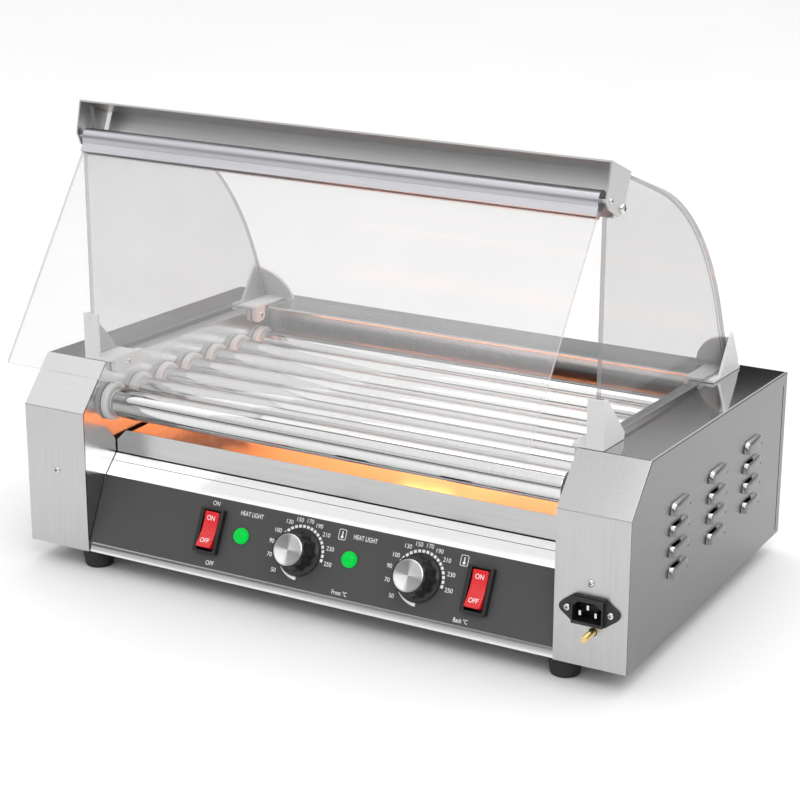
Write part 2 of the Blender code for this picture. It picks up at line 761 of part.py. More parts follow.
def make_flap():
    """Front glass held in a slotted extrusion that turns on the top bar's pins."""
    lean = math.radians(FLAP_REST)
    down = (0, -math.sin(lean), -math.cos(lean))
    along = plane((0, *PIVOT), down, (0, math.cos(lean), -math.sin(lean)))
    half = 3.8
    start = math.degrees(math.asin(half / 8.0))
    outline = arc((0, 0), 8.0, start, 360 - start, 20)
    outline += [(14.5, -half), (14.5, -1.85), (8.8, -1.85), (8.8, 1.85), (14.5, 1.85), (14.5, half)]
    bore = circle((0, 0), 2.5, 14)
    origin = (0, *PIVOT)
    add("flap_hinge_extrusion", slab([outline, bore], along, -239.3, 239.3), "aluminium", origin)
    glass = slab([rectangle((9.2, -1.5), (FLAP_LENGTH, 1.5))], along, -239.0, 239.0)
    add("flap_glass", glass, "glass", origin)


def deck_strip(start, stop, low, high):
    """An outline that follows the deck between two depths and two heights over it."""
    lower = [(depth, deck_z(depth) + low) for depth in (start, stop)]
    return lower + [(depth, deck_z(depth) + high) for depth in (stop, start)]


def make_front_brackets():
    """Moulded bracket that boxes in the side glass's front corner and hooks over the inner wall."""
    fin_x = BRACKET_X - BRACKET_WALL
    start = CREST_D + GAP
    seat = [(depth, deck_z(depth) + GAP) for depth in (start, 39.0, 77.0)]
    front = slab([[seat[0], seat[1], (39.0, 226.5), (start, 226.5)]], SIDE, 234.0, BRACKET_X)
    side = [seat[0], seat[2], (77.0, 190.0), (42.0, 226.5), (start, 226.5)]
    fin = slab([side], SIDE, fin_x, BRACKET_X)
    base = slab([deck_strip(start, 77.0, GAP, 3.0)], SIDE, 222.0, BRACKET_X)
    hook = wall_hook(43.0, 83.0, 173.0)
    add_pair("front_bracket", united(front, fin, base, hook), "white")


def wall_hook(start, stop, low):
    """The lip that reaches from a bracket's base down over the inner wall, its lower corners cut."""
    top = [(depth, deck_z(depth) + 3.0) for depth in (stop, start)]
    outline = [(start, low + 3.0), (start + 3.0, low), (stop - 3.0, low), (stop, low + 3.0)]
    return slab([outline + top], SIDE, 221.6, 226.4)


def make_rear_brackets():
    """Moulded bracket behind and beside the rear corner of the hood."""
    fin_x = BRACKET_X - BRACKET_WALL
    lower = math.radians(HOOD_ANGLES[1])
    up = (0, -math.cos(lower), math.sin(lower))
    behind = plane((0, *HOOD_BASE), (-1, 0, 0), up)
    quarter = [(-BRACKET_X, 0.3)] + arc((-BRACKET_X, 0.3), 37.0, 90, 0, 8)
    plate = slab([quarter], behind, 0.8, 0.8 + BRACKET_WALL)
    foot = [(depth, deck_z(depth) + GAP) for depth in (286.0, 334.0)]
    fin = slab([foot + [(331.0, 181.0), (313.5, 211.0)]], SIDE, fin_x, BRACKET_X)
    base = slab([deck_strip(272.0, 336.0, GAP, 3.0)], SIDE, 222.0, BRACKET_X)
    hook = wall_hook(272.0, 288.0, 161.0)
    add_pair("rear_bracket", united(base, fin, plate, hook), "white")


for leftover in list(bpy.data.objects):
    bpy.data.objects.remove(leftover)
PARTS = bpy.data.collections.new("parts")
bpy.context.scene.collection.children.link(PARTS)
MATERIALS = make_materials()

make_base_pan()
make_inner_walls()
make_side_covers()
make_front_covers()
make_rear_panels()
make_control_panel()
make_switches()
make_lamps()
make_knobs()
make_inlet()
make_stud()
make_feet()
make_bushings()
make_rollers()
make_drive()
make_tray()
make_hood_glass()
make_top_bar()
make_flap()
make_front_brackets()
make_rear_brackets()
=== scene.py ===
"""Looks for the hot dog roller grill: finer pieces, materials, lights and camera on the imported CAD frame."""

import json
import math

import bmesh
import bpy
from mathutils import Matrix, Vector


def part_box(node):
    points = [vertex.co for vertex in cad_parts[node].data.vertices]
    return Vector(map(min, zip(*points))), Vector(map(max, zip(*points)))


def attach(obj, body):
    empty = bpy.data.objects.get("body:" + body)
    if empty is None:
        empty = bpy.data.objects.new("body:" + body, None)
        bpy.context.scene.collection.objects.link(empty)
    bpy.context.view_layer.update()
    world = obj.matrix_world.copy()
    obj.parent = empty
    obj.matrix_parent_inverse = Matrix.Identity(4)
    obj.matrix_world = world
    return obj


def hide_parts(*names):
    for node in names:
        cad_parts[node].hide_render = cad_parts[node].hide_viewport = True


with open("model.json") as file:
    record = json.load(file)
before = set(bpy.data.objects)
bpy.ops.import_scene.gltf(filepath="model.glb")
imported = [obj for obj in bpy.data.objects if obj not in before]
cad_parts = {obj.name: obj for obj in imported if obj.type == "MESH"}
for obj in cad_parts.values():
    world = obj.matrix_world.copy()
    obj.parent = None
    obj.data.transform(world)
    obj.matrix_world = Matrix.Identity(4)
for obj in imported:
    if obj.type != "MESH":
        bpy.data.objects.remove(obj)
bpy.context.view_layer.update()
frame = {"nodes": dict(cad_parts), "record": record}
NODES = frame["nodes"]
JOINTS = {joint["name"]: joint for joint in frame["record"]["behaviour"]["joints"]}
MM = 0.001
ROLLERS = 7

# Places on the control panel in millimetres: (x, height along the panel from its foot)
FRONT_KNOB = (-16.6, 31.0)
REAR_KNOB = (98.0, 31.5)
LAMPS = {"front": (-75.3, 33.8), "rear": (31.8, 33.9)}
LABEL_ROW = 53.2
SCALE_ROW = 4.6
PRINT_LIFT = 1.32  # the print lies on the dark overlay, this far over the point the knobs turn about
PRINT_THICKNESS = 0.04

# ---------------------------------------------------------------- shader helpers


def new_material(name):
    material = bpy.data.materials.new(name)
    material.use_nodes = True
    tree = material.node_tree
    return material, tree, tree.nodes["Principled BSDF"]


def stretched_noise(tree, scale, detail=4.0, stretch=(1, 1, 1)):
    """Noise in object space, drawn out along the axes with a small stretch."""
    place = tree.nodes.new("ShaderNodeTexCoord")
    mapping = tree.nodes.new("ShaderNodeMapping")
    mapping.inputs["Scale"].default_value = stretch
    noise = tree.nodes.new("ShaderNodeTexNoise")
    noise.inputs["Scale"].default_value = scale
    noise.inputs["Detail"].default_value = detail
    tree.links.new(place.outputs["Object"], mapping.inputs["Vector"])
    tree.links.new(mapping.outputs["Vector"], noise.inputs["Vector"])
    return noise.outputs["Fac"]


def ranged(tree, value, low, high):
    """The value's middle stretch, 0.3 to 0.7, spread between low and high."""
    node = tree.nodes.new("ShaderNodeMapRange")
    node.inputs["From Min"].default_value = 0.3
    node.inputs["From Max"].default_value = 0.7
    node.inputs["To Min"].default_value = low
    node.inputs["To Max"].default_value = high
    tree.links.new(value, node.inputs["Value"])
    return node.outputs["Result"]


def ramp(tree, value, first, second):
    """A colour that goes from first to second as the value goes from 0.3 to 0.7."""
    node = tree.nodes.new("ShaderNodeValToRGB")
    node.color_ramp.elements[0].color = (*first, 1)
    node.color_ramp.elements[1].color = (*second, 1)
    node.color_ramp.elements[0].position = 0.3
    node.color_ramp.elements[1].position = 0.7
    tree.links.new(value, node.inputs["Fac"])
    return node.outputs["Color"]


def bump(tree, shader, height, strength, distance):
    node = tree.nodes.new("ShaderNodeBump")
    node.inputs["Strength"].default_value = strength
    node.inputs["Distance"].default_value = distance
    tree.links.new(height, node.inputs["Height"])
    tree.links.new(node.outputs["Normal"], shader.inputs["Normal"])


def metal(name, grey, roughness, stretch, grain=60.0, strength=0.05, tint=(1, 1, 1)):
    """Metal with a grain drawn along the axis whose stretch is small; grey is its darkest and lightest."""
    material, tree, shader = new_material(name)
    dark, light = (tuple(level * part for part in tint) for level in grey)
    shader.inputs["Metallic"].default_value = 1.0
    fine = stretched_noise(tree, grain, 3.0, stretch)
    broad = stretched_noise(tree, 5.0, 2.0)
    tree.links.new(ramp(tree, fine, dark, light), shader.inputs["Base Color"])
    tree.links.new(ranged(tree, broad, *roughness), shader.inputs["Roughness"])
    bump(tree, shader, fine, strength, 0.0002)
    return material


def plastic(name, grey, roughness, grain, strength, metallic=0.0, tint=(1, 1, 1)):
    """Moulded or painted surface, slightly mottled; grey is its darkest and lightest."""
    material, tree, shader = new_material(name)
    dark, light = (tuple(level * part for part in tint) for level in grey)
    shader.inputs["Metallic"].default_value = metallic
    fine = stretched_noise(tree, grain, 4.0)
    broad = stretched_noise(tree, 18.0, 2.0)
    tree.links.new(ramp(tree, broad, dark, light), shader.inputs["Base Color"])
    tree.links.new(ranged(tree, fine, *roughness), shader.inputs["Roughness"])
    bump(tree, shader, fine, strength, 0.0003)
    return material


def clear_sheet(name, axis, faces, grey, curved=False):
    """Clear sheet with milky sawn edges: axis is the normal of its faces, or of its ends when curved. Its
    grey, partly opaque faces are a painted reflection of the bright studio on the sheet.
    """
    material, tree, shader = new_material(name)
    shader.inputs["Specular IOR Level"].default_value = 0.5
    shader.inputs["IOR"].default_value = 1.49
    edges = 0.62
    alpha = tree.nodes.new("ShaderNodeMapRange")
    alpha.inputs["To Min"].default_value, alpha.inputs["To Max"].default_value = (
        (faces, edges) if curved else (edges, faces)
    )
    tree.links.new(facing(tree, axis), alpha.inputs["Value"])
    tree.links.new(alpha.outputs["Result"], shader.inputs["Alpha"])
    # grey base colour, faintly mottled: painted reflection laid over the sheet
    reflection_mottle = stretched_noise(tree, 9.0, 2.0)
    low, high = ((level, level, level * 1.01) for level in (grey * 0.95, grey * 1.05))
    tree.links.new(ramp(tree, reflection_mottle, low, high), shader.inputs["Base Color"])
    tree.links.new(ranged(tree, reflection_mottle, 0.02, 0.05), shader.inputs["Roughness"])
    return material


def glowing(name, dark, light, strength):
    """A lit lens with faint moulded mottling."""
    material, tree, shader = new_material(name)
    fine = stretched_noise(tree, 900.0, 2.0)
    unlit = [tuple(0.04 * part for part in colour) for colour in (dark, light)]
    tree.links.new(ramp(tree, fine, *unlit), shader.inputs["Base Color"])
    tree.links.new(ramp(tree, fine, dark, light), shader.inputs["Emission Color"])
    shader.inputs["Emission Strength"].default_value = strength
    shader.inputs["Specular IOR Level"].default_value = 0.12
    shader.inputs["Roughness"].default_value = 0.3
    return material


def folded_metal(name, shaded_side_grey, top_grey):
    """Sheet that is brushed on its upright faces and polished on its top; the upright faces are coloured much
    darker than the top as painted shade.
    """
    material = metal(name, shaded_side_grey, (0.24, 0.3), (1, 0.02, 1), 700.0)
    tree = material.node_tree
    shader = tree.nodes["Principled BSDF"]
    top = facing(tree, (0.0, 0.0, 1.0))
    for socket, level in (("Base Color", (top_grey,) * 3), ("Roughness", (0.07,) * 3)):
        mix = tree.nodes.new("ShaderNodeMix")
        mix.data_type = "RGBA"
        tree.links.new(top, mix.inputs["Factor"])
        tree.links.new(shader.inputs[socket].links[0].from_socket, mix.inputs["A"])
        mix.inputs["B"].default_value = (*level, 1)
        tree.links.new(mix.outputs["Result"], shader.inputs[socket])
    return material


def facing(tree, axis):
    """1 where the surface looks along the axis, either way, and 0 where it looks across it."""
    place = tree.nodes.new("ShaderNodeTexCoord")
    dot = tree.nodes.new("ShaderNodeVectorMath")
    dot.operation = "DOT_PRODUCT"
    dot.inputs[1].default_value = axis
    tree.links.new(place.outputs["Normal"], dot.inputs[0])
    size = tree.nodes.new("ShaderNodeMath")
    size.operation = "ABSOLUTE"
    tree.links.new(dot.outputs["Value"], size.inputs[0])
    step = tree.nodes.new("ShaderNodeMapRange")
    step.inputs["From Min"].default_value = 0.6
    step.inputs["From Max"].default_value = 0.8
    tree.links.new(size.outputs[0], step.inputs["Value"])
    return step.outputs["Result"]


def radial_metal(name):
    """Spun metal: fine rings, and two bright and two dark streaks about the middle of a cap, painted into the
    colour as painted highlight and shade of the spun finish.
    """
    material, tree, shader = new_material(name)
    shader.inputs["Metallic"].default_value = 1.0
    place = tree.nodes.new("ShaderNodeTexCoord")
    rings = tree.nodes.new("ShaderNodeTexWave")
    rings.wave_type = "RINGS"
    rings.rings_direction = "Z"
    rings.inputs["Scale"].default_value = 900.0
    turn = tree.nodes.new("ShaderNodeTexGradient")
    turn.gradient_type = "RADIAL"
    tree.links.new(place.outputs["Object"], rings.inputs["Vector"])
    tree.links.new(place.outputs["Object"], turn.inputs["Vector"])
    lobes = tree.nodes.new("ShaderNodeMath")
    lobes.operation = "MULTIPLY"
    lobes.inputs[1].default_value = 4 * math.pi
    wave = tree.nodes.new("ShaderNodeMath")
    wave.operation = "SINE"
    tree.links.new(turn.outputs["Fac"], lobes.inputs[0])
    tree.links.new(lobes.outputs["Value"], wave.inputs[0])
    highlight_streaks = tree.nodes.new("ShaderNodeMapRange")
    highlight_streaks.inputs["From Min"].default_value = -1.0
    tree.links.new(wave.outputs["Value"], highlight_streaks.inputs["Value"])
    # the streaks turn the colour from dark to light: painted highlight and shade
    colour = ramp(tree, highlight_streaks.outputs["Result"], (0.36,) * 3, (0.80,) * 3)
    tree.links.new(colour, shader.inputs["Base Color"])
    tree.links.new(ranged(tree, rings.outputs["Fac"], 0.26, 0.4), shader.inputs["Roughness"])
    bump(tree, shader, rings.outputs["Fac"], 0.1, 0.0001)
    return material


def make_materials():
    along_x, upright, even = (0.02, 1, 1), (1, 1, 0.02), (1, 1, 1)
    return {
        "brushed": metal("brushed_steel", (0.50, 0.55), (0.26, 0.34), upright, 700.0),
        # the dark grey of the side covers' upright faces is painted shade; their tops keep the lighter grey
        "side_steel": folded_metal("side_steel", (0.21, 0.235), 0.62),
        "brushed_x": metal("brushed_steel_across", (0.76, 0.81), (0.12, 0.18), along_x, 700.0, 0.015),
        "satin": metal("satin_steel", (0.50, 0.55), (0.2, 0.28), along_x, 500.0, 0.02),
        "chrome": metal("roller_chrome", (0.70, 0.75), (0.05, 0.1), along_x, 260.0, 0.01),
        "dull": metal("dull_steel", (0.42, 0.52), (0.35, 0.5), along_x, 300.0),
        "anodised": metal(
            "anodised_aluminium", (0.44, 0.49), (0.28, 0.4), along_x, 900.0, tint=(1, 1, 1.06)
        ),
        "bar_inside": metal("top_bar_aluminium", (0.52, 0.58), (0.3, 0.4), along_x, 900.0),
        "screw": metal("screw_steel", (0.62, 0.75), (0.15, 0.3), even, 400.0),
        "brass": metal("brass", (0.70, 0.85), (0.18, 0.3), even, 500.0, tint=(1, 0.74, 0.34)),
        "cap": radial_metal("spun_cap"),
        "panel": plastic("dark_overlay", (0.052, 0.056), (0.42, 0.55), 2200.0, 0.1),
        "black": plastic("black_plastic", (0.007, 0.012), (0.3, 0.45), 1200.0, 0.1),
        "white": plastic("white_plastic", (0.60, 0.66), (0.35, 0.5), 900.0, 0.15),
        "rubber": plastic("rubber", (0.010, 0.020), (0.65, 0.85), 1500.0, 0.3),
        "red": plastic("red_plastic", (0.62, 0.72), (0.2, 0.32), 700.0, 0.05, tint=(1, 0.02, 0.03)),
        "print": plastic("white_print", (0.85, 0.92), (0.5, 0.6), 900.0, 0.02),
        "motor": plastic("motor_paint", (0.05, 0.08), (0.4, 0.55), 400.0, 0.2, metallic=0.3),
        # near-black for the screw recesses and the panel groove: painted shade
        "painted_shade": plastic("shadow_line", (0.01, 0.02), (0.6, 0.8), 400.0, 0.1),
        "lamp": glowing("green_lens", (0.0, 0.55, 0.05), (0.0, 0.80, 0.09), 0.95),
        # the last number of each sheet is the grey of its painted reflection
        "side_glass": clear_sheet("side_glass", (1.0, 0.0, 0.0), 0.23, 0.26),
        "rear_glass": clear_sheet("rear_glass", (1.0, 0.0, 0.0), 0.07, 0.34, curved=True),
        "flap_glass": clear_sheet("flap_glass", flap_normal(), 0.19, 0.54),
    }


def flap_normal():
    low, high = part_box("flap_glass")
    rise = high.z - low.z
    run = high.y - low.y
    return tuple(Vector((0, rise, -run)).normalized())


# ---------------------------------------------------------------- mesh helpers


def finish_piece(name, bm, body, material, where=None):
    """Makes the object, places it, smooths it, gives it its material and lets it ride on the body."""
    mesh = bpy.data.meshes.new(name)
    bmesh.ops.recalc_face_normals(bm, faces=bm.faces)
    bm.to_mesh(mesh)
    bm.free()
    mesh.shade_smooth()
    mesh.set_sharp_from_angle(angle=math.radians(38))
    mesh.materials.append(MATERIALS[material])
    obj = bpy.data.objects.new(name, mesh)
    bpy.context.scene.collection.objects.link(obj)
    if where is not None:
        obj.matrix_world = where
        bpy.context.view_layer.update()
    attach(obj, body)
    return obj


def round_point(reach, angle, height):
    """A point in metres from a radius and a height in millimetres."""
    return reach * math.cos(angle) * MM, reach * math.sin(angle) * MM, height * MM


def lathe(profile, segments=48, ring=False, flutes=0):
    """(radius, height[, flute depth]) in millimetres turned about local Z."""
    bm = bmesh.new()
    rows = []
    for radius, height, *depth in profile:
        row = []
        for i in range(segments if radius > 0 else 1):
            angle = 2 * math.pi * i / segments
            reach = radius - (depth[0] * (1 - math.cos(flutes * angle)) / 2 if depth else 0)
            row.append(bm.verts.new(round_point(reach, angle, height)))
        rows.append(row)
    for lower, upper in zip(rows, rows[1:] + (rows[:1] if ring else [])):
        for i in range(segments):
            j = (i + 1) % segments
            corners = [row[k % len(row)] for row, k in ((lower, i), (lower, j), (upper, j), (upper, i))]
            bm.faces.new(list(dict.fromkeys(corners)))
    return bm


def add_prism(bm, outline, start=0, stop=PRINT_THICKNESS):
    """Adds a flat outline, in millimetres, carried from one height to another."""
    low = [bm.verts.new((x * MM, y * MM, start * MM)) for x, y in outline]
    high = [bm.verts.new((x * MM, y * MM, stop * MM)) for x, y in outline]
    bm.faces.new(low[::-1])
    bm.faces.new(high)
    for i in range(len(low)):
        j = (i + 1) % len(low)
        bm.faces.new((low[i], low[j], high[j], high[i]))


def prism(outline, start, stop):
    """A mesh of one such prism."""
    bm = bmesh.new()
    add_prism(bm, outline, start, stop)
    return bm


def placed(origin, normal, up=(0, 0, 1)):
    """A matrix at origin whose local Z runs along normal and whose Y lies towards up."""
    z = Vector(normal).normalized()
    x = Vector(up).cross(z).normalized()
    y = z.cross(x)
    return Matrix.Translation(Vector(origin)) @ Matrix((x, y, z)).transposed().to_4x4()


def face_place(x, along, height):
    """The place on the control panel at x and `along` up from its foot, in millimetres."""
    joint = JOINTS["front_knob_turn"]
    normal = Vector(joint["axis"])
    up = Vector((0, normal.z, -normal.y))
    across = Vector((1, 0, 0)) * (x - FRONT_KNOB[0]) * MM
    spot = Vector(joint["pos_m"]) + across + up * (along - FRONT_KNOB[1]) * MM
    return placed(spot + normal * height * MM, normal, up)


def rounded_rectangle(half_x, half_y, radius, steps=4):
    points = []
    for quarter, (sx, sy) in enumerate(((1, 1), (-1, 1), (-1, -1), (1, -1))):
        for step in range(steps + 1):
            angle = math.radians(90 * quarter + 90 * step / steps)
            cx, cy = sx * (half_x - radius), sy * (half_y - radius)
            points.append((cx + radius * math.cos(angle), cy + radius * math.sin(angle)))
    return points


# ---------------------------------------------------------------- finer stand-ins for CAD nodes


def make_rollers():
    profile = [
        (0, -234), (7, -234), (7, -217), (12.4, -217), (13.2, -216.7), (13.5, -216),
        (13.5, 216), (13.2, 216.7), (12.4, 217), (7, 217), (7, 243), (15.2, 243),
        (16.4, 244.5), (16.4, 246.5), (15.2, 248), (7, 248), (7, 252), (0, 252),
    ]
    for index in range(1, ROLLERS + 1):
        joint = JOINTS[f"roller_{index}_spin"]
        where = placed(joint["pos_m"], (1, 0, 0))
        tube = lathe(profile, 64)
        piece = finish_piece(f"roller_tube_{index}", tube, joint["child"], "chrome", where)
        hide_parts(f"roller_{index}")


def make_bushings():
    profile = [
        (17, 226.6), (17, 222.2), (16.6, 221.4), (15.8, 221), (12.6, 221), (12.0, 221.5), (10.4, 221.5),
        (9.8, 220.6), (8.0, 220.6), (7.4, 221.2), (7.4, 232), (8.9, 232), (8.9, 226.6),
    ]
    for index in range(1, ROLLERS + 1):
        centre = JOINTS[f"roller_{index}_spin"]["pos_m"]
        for side, way in (("left", -1), ("right", 1)):
            where = placed(centre, (way, 0, 0))
            name = f"{side}_bushing_{index}"
            ring = lathe(profile, 48, ring=True)
            piece = finish_piece(f"{name}_ring", ring, "frame", "white", where)
            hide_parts(name)


def make_knobs():
    """Scalloped black grip on a skirt, with a spun metal cap set into its end."""
    grip = [
        (0, -10), (3.2, -10), (3.2, 1.6), (20.0, 1.6), (20.4, 2.0), (20.4, 3.0), (20.0, 3.8), (18.8, 4.6),
        (17.9, 5.4, 0.9), (17.4, 7.0, 1.5), (16.7, 15.0, 1.3), (16.1, 19.8, 1.0), (15.5, 21.2, 0.6),
        (14.7, 22.0), (13.8, 22.2), (13.6, 21.8), (0, 21.8),
    ]
    cap = [(13.4, 21.9), (13.6, 22.3), (13.2, 22.6), (12.4, 22.6), (12.1, 22.5), (0, 22.5)]
    for end in ("front", "rear"):
        joint = JOINTS[f"{end}_knob_turn"]
        where = placed(joint["pos_m"], joint["axis"])
        turned = lathe(grip, 120, flutes=12)
        piece = finish_piece(f"{end}_knob_grip", turned, joint["child"], "black", where)
        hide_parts(f"{end}_knob")
        finish_piece(f"{end}_knob_cap", lathe(cap, 64), joint["child"], "cap", where)


def make_lamps():
    lens = [
        (0, -12), (4.6, -12), (4.6, 1.6), (6.8, 1.6), (7.0, 1.9), (7.0, 2.6), (6.8, 3.6), (6.2, 4.9),
        (5.2, 5.9), (4.0, 6.6), (2.4, 7.1), (0, 7.3),
    ]
    for end, spot in LAMPS.items():
        where = face_place(*spot, 0)
        piece = finish_piece(f"{end}_lamp_lens", lathe(lens, 48), "frame", "lamp", where)
        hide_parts(f"{end}_heat_lamp")


def make_feet():
    profile = [
        (0, 0), (10.6, 0), (11.6, 0.3), (12.2, 1.0), (12.6, 3.0),
        (14.6, 15.2), (15, 16.8), (15, 17.6), (0, 17.6),
    ]
    for side in ("left", "right"):
        for end in ("front", "rear"):
            low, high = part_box(f"{side}_{end}_foot")
            spot = ((low.x + high.x) / 2, (low.y + high.y) / 2, 0)
            where = placed(spot, (0, 0, 1), (0, 1, 0))
            piece = finish_piece(f"{side}_{end}_pad", lathe(profile, 48), "frame", "rubber", where)
            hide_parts(f"{side}_{end}_foot")


def make_stud():
    """Threaded stud: a true spiral thread, one turn per millimetre and a quarter."""
    low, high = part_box("earth_stud")
    centre = ((low.x + high.x) / 2, (low.y + 0.0166), (low.z + high.z) / 2)
    bm = bmesh.new()
    segments, pitch, length = 28, 1.25, 16.4
    turns = int(length / pitch)
    rows = []
    for turn in range(turns * 4 + 1):
        row = []
        for i in range(segments):
            angle = 2 * math.pi * i / segments
            phase = (turn / 4 + i / segments) % 1.0
            reach = 2.55 + 0.45 * (1 - abs(2 * phase - 1))
            row.append(bm.verts.new(round_point(reach, angle, turn * pitch / 4)))
        rows.append(row)
    for lower, upper in zip(rows, rows[1:]):
        for i in range(segments):
            j = (i + 1) % segments
            bm.faces.new((lower[i], lower[j], upper[j], upper[i]))
    bm.faces.new(rows[-1])
    bm.faces.new(rows[0][::-1])
    piece = finish_piece("earth_stud_thread", bm, "frame", "brass", placed(centre, (0, -1, 0)))
    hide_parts("earth_stud")


# ---------------------------------------------------------------- small pieces


def make_screw(name, where, radius):
    """Pan-head screw with a cross recess, drawn as a dark cross of painted shade standing a little out of the
    head.
    """
    dome = [(0, -1.5), (radius * 0.5, -1.5), (radius * 0.5, 0), (radius, 0), (radius, 0.25 * radius)]
    dome += [(radius * 0.88, 0.42 * radius), (radius * 0.6, 0.56 * radius), (0, 0.62 * radius)]
    finish_piece(name, lathe(dome, 28), "frame", "screw", where)
    arm, half = radius * 0.52, radius * 0.11
    cross = [(half, half), (arm, half), (arm, -half), (half, -half), (half, -arm), (-half, -arm)]
    cross += [(-half, -half), (-arm, -half), (-arm, half), (-half, half), (-half, arm), (half, arm)]
    # dark cross of painted shade where the recess is
    recess = prism(cross[::-1], 0.5 * radius, 0.64 * radius)
    finish_piece(f"{name}_recess", recess, "frame", "painted_shade", where)


def make_screws():
    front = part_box("right_front_cover")[0].y
    edge_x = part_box("hood_top_bar")[1].x
    for side, way in (("left", -1), ("right", 1)):
        make_screw(f"{side}_cover_screw", placed((way * 0.2579, front, 0.0901), (0, -1, 0)), 3.1)
        edge = way * edge_x
        dome = (edge, front + 0.0634, 0.3731)
        pivot = (edge, front + 0.041, 0.3832)
        make_screw(f"{side}_bar_screw", placed(dome, (way, 0, 0)), 4.2)
        make_screw(f"{side}_pivot_screw", placed(pivot, (way, 0, 0)), 2.6)
        hook = way * 0.2216
        make_screw(f"{side}_front_bracket_screw", placed((hook, front + 0.062, 0.1795), (-way, 0, 0)), 3.0)
        make_screw(f"{side}_rear_bracket_screw", placed((hook, front + 0.280, 0.1675), (-way, 0, 0)), 3.0)
    for way in (-1, 1):
        spot = (0.2581 + way * 0.0184, front - 0.0026, 0.0674)
        make_screw(f"inlet_screw_{'left' if way < 0 else 'right'}", placed(spot, (0, -1, 0)), 2.9)


def make_inlet_pins():
    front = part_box("right_front_cover")[0].y
    for name, x, z in (("live", 251.4, 65.6), ("neutral", 264.8, 65.6), ("earth", 258.1, 71.0)):
        pin = prism(rounded_rectangle(1.0, 2.0, 0.4), 0, 13.5)
        where = placed((x * MM, front + 0.0092, z * MM), (0, -1, 0))
        finish_piece(f"inlet_pin_{name}", pin, "frame", "screw", where)


def make_text(name, words, where, height, body="frame", squeeze=0.86):
    """White printed letters, centred on the place."""
    curve = bpy.data.curves.new(name, "FONT")
    curve.body = words
    curve.size = height * 1.5 * MM
    curve.offset = 0.004 * height * MM
    curve.align_x = "CENTER"
    curve.align_y = "CENTER"
    curve.extrude = 0.03 * MM
    work = bpy.data.objects.new(name, curve)
    bpy.context.scene.collection.objects.link(work)
    mesh = bpy.data.meshes.new_from_object(work.evaluated_get(bpy.context.evaluated_depsgraph_get()))
    bpy.data.objects.remove(work)
    mesh.transform(Matrix.Diagonal((squeeze, 1, 1, 1)))
    mesh.materials.clear()
    mesh.materials.append(MATERIALS["print"])
    obj = bpy.data.objects.new(name, mesh)
    bpy.context.scene.collection.objects.link(obj)
    obj.matrix_world = where
    bpy.context.view_layer.update()
    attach(obj, body)


def ring_piece(low_r, high_r, start, end, steps=3):
    """An outline between two radii and two angles in degrees."""
    angles = [math.radians(start + (end - start) * i / steps) for i in range(steps + 1)]
    inner = [(low_r * math.cos(a), low_r * math.sin(a)) for a in angles]
    return inner + [(high_r * math.cos(a), high_r * math.sin(a)) for a in angles[::-1]]


def make_dial(end, x, along):
    """The printed scale round a knob: numbers, a row of dashes and a tapering sweep."""
    place = face_place(x, along, PRINT_LIFT)
    numbers = ((50, 222), (70, 194), (90, 171), (100, 150), (130, 124), (150, 103))
    numbers += ((170, 82), (190, 62), (210, 41), (230, 16), (250, -10))
    for value, angle in numbers:
        a = math.radians(angle)
        reach = 27.2 + 2.0 * abs(math.cos(a))
        spot = place @ Matrix.Translation((reach * math.cos(a) * MM, reach * math.sin(a) * MM, 0))
        make_text(f"{end}_dial_{value}", str(value), spot, 3.5, squeeze=0.95)
    marks = bmesh.new()
    for index in range(17):
        angle = 152 - index * 10.0
        add_prism(marks, ring_piece(21.0, 23.4, angle - 3.4, angle + 3.4))
    add_prism(marks, ring_piece(22.0, 24.6, 171.6, 173.0))
    add_prism(marks, sweep_outline())
    finish_piece(f"{end}_dial_marks", marks, "frame", "print", place)


def sweep_outline():
    """A crescent that thickens from the lower left to the foot of the dial."""
    inner, outer = [], []
    for step in range(11):
        angle = math.radians(222 + 52 * step / 10)
        grow = 2.4 * step / 10
        inner.append((21.0 * math.cos(angle), 21.0 * math.sin(angle)))
        outer.append(((21.4 + grow) * math.cos(angle), (21.4 + grow) * math.sin(angle)))
    return inner + outer[::-1]


def make_prints():
    make_dial("front", *FRONT_KNOB)
    make_dial("rear", *REAR_KNOB)
    make_text("power_on", "ON", face_place(-107.0, 56.6, PRINT_LIFT), 3.7)
    make_text("power_off", "OFF", face_place(-101.0, 5.2, PRINT_LIFT), 3.7)
    for name in ("power", "light"):
        rocker_prints(name, JOINTS[f"{name}_rocker_tilt"])
    for name, x in (("front", -70.3), ("rear", 41.7)):
        place = face_place(x + 0.5, LABEL_ROW, PRINT_LIFT)
        make_text(f"{name}_label", "HEAT LIGHT", place, 3.8, squeeze=0.72)
    for name, words, x in (("front", "Front °C", 28.0), ("rear", "Back °C", 142.0)):
        place = face_place(x + 0.6, SCALE_ROW, PRINT_LIFT)
        make_text(f"{name}_scale", words, place, 3.5, squeeze=0.78)
    for name, x in (("front", 20.0), ("rear", 135.0)):
        make_icon(f"{name}_icon", face_place(x, LABEL_ROW, PRINT_LIFT))


def rocker_prints(name, joint):
    """ON and OFF on the two halves of a rocker, in the plane of each half."""
    normal = Vector(JOINTS["front_knob_turn"]["axis"])
    tilt = Matrix.Rotation(math.radians(-8), 4, "X")
    base = placed(joint["pos_m"], normal, (0, normal.z, -normal.y)) @ tilt
    for words, along, rise, lean in (("ON", 10.0, 4.75, 14.0), ("OFF", -10.0, 4.75, -14.0)):
        shift = Matrix.Translation((0, along * MM, rise * MM))
        spot = base @ shift @ Matrix.Rotation(math.radians(lean), 4, "X")
        make_text(f"{name}_rocker_{words.lower()}", words, spot, 4.0, joint["child"])


